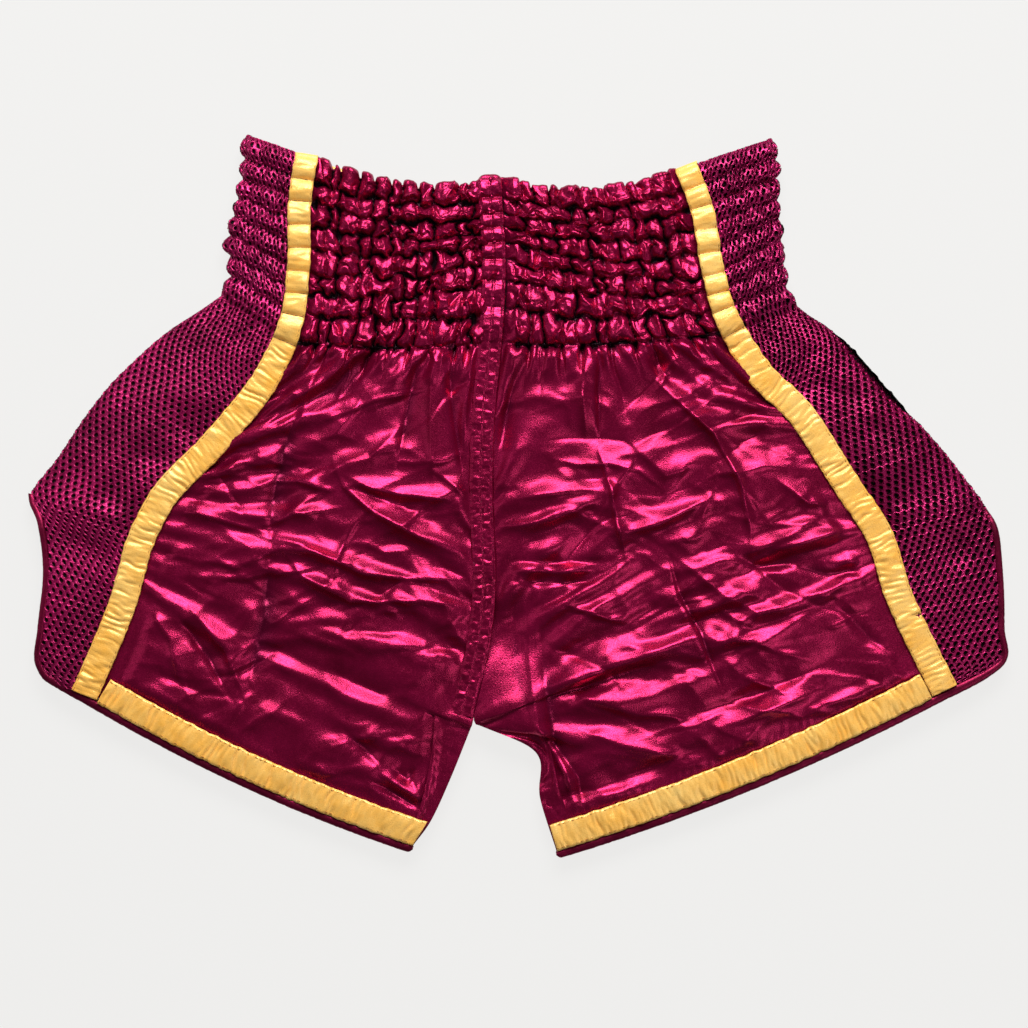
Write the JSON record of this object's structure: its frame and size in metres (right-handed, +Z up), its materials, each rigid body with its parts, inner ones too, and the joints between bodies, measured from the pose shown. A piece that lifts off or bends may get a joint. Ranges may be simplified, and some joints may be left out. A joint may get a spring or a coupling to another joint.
{
  "type": "boxing shorts",
  "caption": "Wide-leg boxing shorts laid flat: glossy satin front and back, mesh sides, shirred elastic waist, ribbon stripes and split hems.",
  "frame": {"origin": "middle of the footprint, on the surface the shorts lie on", "axes": "+Z up through the cloth, the front of the shorts facing up; +Y to the waist, -Y to the hems; the wearer's right is -X"},
  "size_m": [0.5394, 0.3978, 0.0199],
  "materials": {
    "satin": "glossy woven satin",
    "mesh": "open knitted air mesh",
    "lining": "fine matt knit",
    "ribbon": "glossy satin ribbon",
    "binding": "woven bias tape",
    "elastic": "woven elastic band"
  },
  "bodies": {
    "root": {"back_left_binding": "binding", "back_left_hem_ribbon": "ribbon", "back_left_panel": "satin", "back_left_stripe": "ribbon", "back_right_binding": "binding", "back_right_hem_ribbon": "ribbon", "back_right_panel": "satin", "back_right_stripe": "ribbon", "back_waistband_facing": "satin", "centre_back_seam": "satin", "centre_front_seam": "satin", "front_left_binding": "binding", "front_left_hem_ribbon": "ribbon", "front_left_panel": "satin", "front_left_stripe": "ribbon", "front_right_binding": "binding", "front_right_hem_ribbon": "ribbon", "front_right_panel": "satin", "front_right_stripe": "ribbon", "front_waistband_facing": "satin", "left_inseam_gusset": "satin", "left_mesh_lining": "lining", "left_mesh_panel": "mesh", "right_inseam_gusset": "satin", "right_mesh_lining": "lining", "right_mesh_panel": "mesh", "waist_elastic_1": "elastic", "waist_elastic_2": "elastic", "waist_elastic_3": "elastic", "waist_elastic_4": "elastic", "waist_elastic_5": "elastic", "waist_elastic_6": "elastic", "waist_elastic_7": "elastic", "waist_elastic_8": "elastic"}
  },
  "joints": []
}
